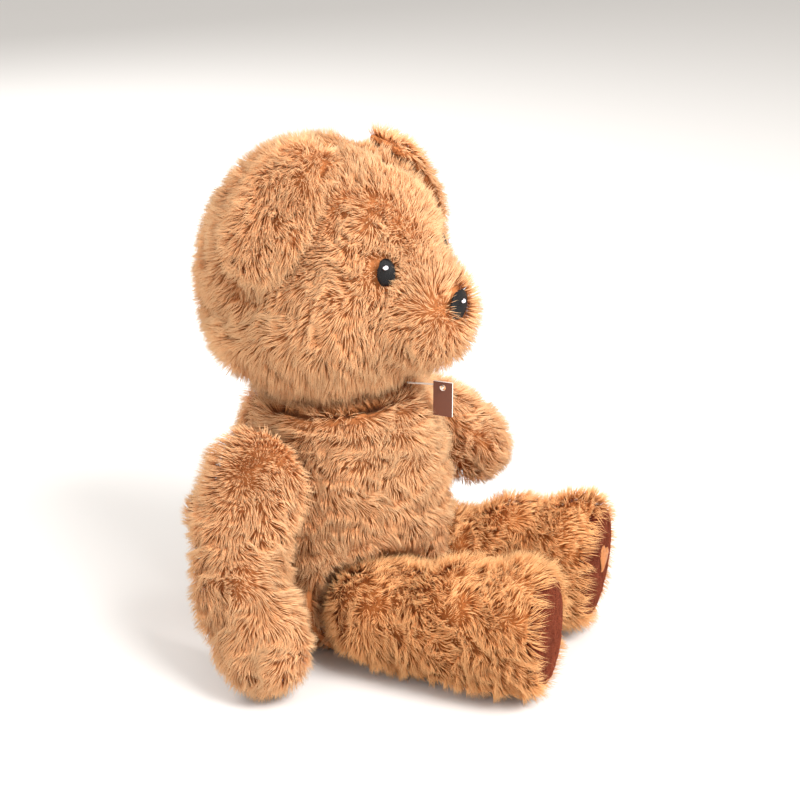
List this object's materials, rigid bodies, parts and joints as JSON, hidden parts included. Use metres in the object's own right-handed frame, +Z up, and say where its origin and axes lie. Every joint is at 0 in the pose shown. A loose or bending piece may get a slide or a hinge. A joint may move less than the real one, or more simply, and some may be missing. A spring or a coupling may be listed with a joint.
{
  "type": "plush dog",
  "caption": "Seated plush dog with drop ears, a round muzzle, embroidered eyes and nose, and sewn limbs that swing at the torso.",
  "frame": {"origin": "middle of the flat seat panel, on the surface the dog sits on", "axes": "+Z up; the dog faces -Y, and its left is +X"},
  "size_m": [0.2115, 0.2223, 0.2663],
  "materials": {
    "plush": "golden-brown pile fabric, about 10 mm pile in soft swirls",
    "leg_plush": "the same pile fabric, a warmer brown",
    "stuffing": "white polyester fibre",
    "bean_bag": "woven pouch of plastic pellets",
    "black_thread": "black satin-stitch embroidery",
    "white_thread": "white satin-stitch embroidery",
    "gold_thread": "gold satin-stitch embroidery",
    "velour": "short-pile chocolate velour",
    "tag_card": "printed brown card with a white edge",
    "tag_thread": "pale nylon fastener"
  },
  "bodies": {
    "torso": {"torso_front_panel": "plush", "torso_back_panel_right": "plush", "torso_back_panel_left": "plush", "seat_panel": "plush", "seat_bean_bag": "bean_bag", "torso_stuffing": "stuffing"},
    "neck": {"neck_stuffing": "stuffing"},
    "head": {"head_gusset": "plush", "head_panel_right": "plush", "head_panel_left": "plush", "head_stuffing": "stuffing", "muzzle_panel_right": "plush", "muzzle_panel_left": "plush", "muzzle_stuffing": "stuffing", "nose": "black_thread", "nose_glint": "white_thread", "eye_right": "black_thread", "eye_glint_right": "white_thread", "eye_left": "black_thread", "eye_glint_left": "white_thread"},
    "ear_right": {"ear_lining_right": "plush", "ear_outer_right": "plush"},
    "ear_left": {"ear_lining_left": "plush", "ear_outer_left": "plush"},
    "arm_right": {"arm_front_panel_right": "plush", "arm_back_panel_right": "plush", "arm_stuffing_right": "stuffing"},
    "arm_left": {"arm_front_panel_left": "plush", "arm_back_panel_left": "plush", "arm_stuffing_left": "stuffing"},
    "leg_right": {"leg_top_panel_right": "leg_plush", "leg_under_panel_right": "leg_plush", "leg_stuffing_right": "stuffing", "sole_right": "velour"},
    "leg_left": {"leg_top_panel_left": "leg_plush", "leg_under_panel_left": "leg_plush", "leg_stuffing_left": "stuffing", "sole_left": "velour", "sole_motif_left": "gold_thread"},
    "tail": {"tail_cover": "plush", "tail_stuffing": "stuffing"},
    "tag": {"tag_card": "tag_card", "tag_thread": "tag_thread"}
  },
  "joints": [
    {"name": "head_nod", "type": "hinge", "parent": "torso", "child": "neck", "pos_m": [0, 0.008, 0.138], "axis": [1, 0, 0], "range_deg": [-12, 4]},
    {"name": "head_turn", "type": "hinge", "parent": "neck", "child": "head", "pos_m": [0, 0.008, 0.138], "axis": [0, 0, 1], "range_deg": [-17, 39]},
    {"name": "ear_lift_right", "type": "hinge", "parent": "head", "child": "ear_right", "pos_m": [-0.02549, -0.00078, 0.25841], "axis": [0.1625, 0.9676, 0.1932], "range_deg": [0, 50]},
    {"name": "ear_lift_left", "type": "hinge", "parent": "head", "child": "ear_left", "pos_m": [0.02207, -0.01586, 0.25608], "axis": [-0.3899, -0.8977, -0.2052], "range_deg": [0, 50]},
    {"name": "shoulder_swing_right", "type": "hinge", "parent": "torso", "child": "arm_right", "pos_m": [-0.0525, 0.016, 0.108], "axis": [-1, 0, 0], "range_deg": [-20, 75]},
    {"name": "shoulder_swing_left", "type": "hinge", "parent": "torso", "child": "arm_left", "pos_m": [0.0525, 0.012, 0.106], "axis": [-1, 0, 0], "range_deg": [-5, 30]},
    {"name": "hip_lift_right", "type": "hinge", "parent": "torso", "child": "leg_right", "pos_m": [-0.035, -0.036, 0.03], "axis": [-1, 0, 0], "range_deg": [-3, 15]},
    {"name": "hip_lift_left", "type": "hinge", "parent": "torso", "child": "leg_left", "pos_m": [0.035, -0.036, 0.03], "axis": [-1, 0, 0], "range_deg": [-3, 15]},
    {"name": "tail_wag", "type": "hinge", "parent": "torso", "child": "tail", "pos_m": [0, 0.058, 0.027], "axis": [0, 0, 1], "range_deg": [-24, 24]},
    {"name": "tag_swing", "type": "hinge", "parent": "torso", "child": "tag", "pos_m": [0, -0.056, 0.14], "axis": [0, 1, 0], "range_deg": [-25, 25]}
  ]
}
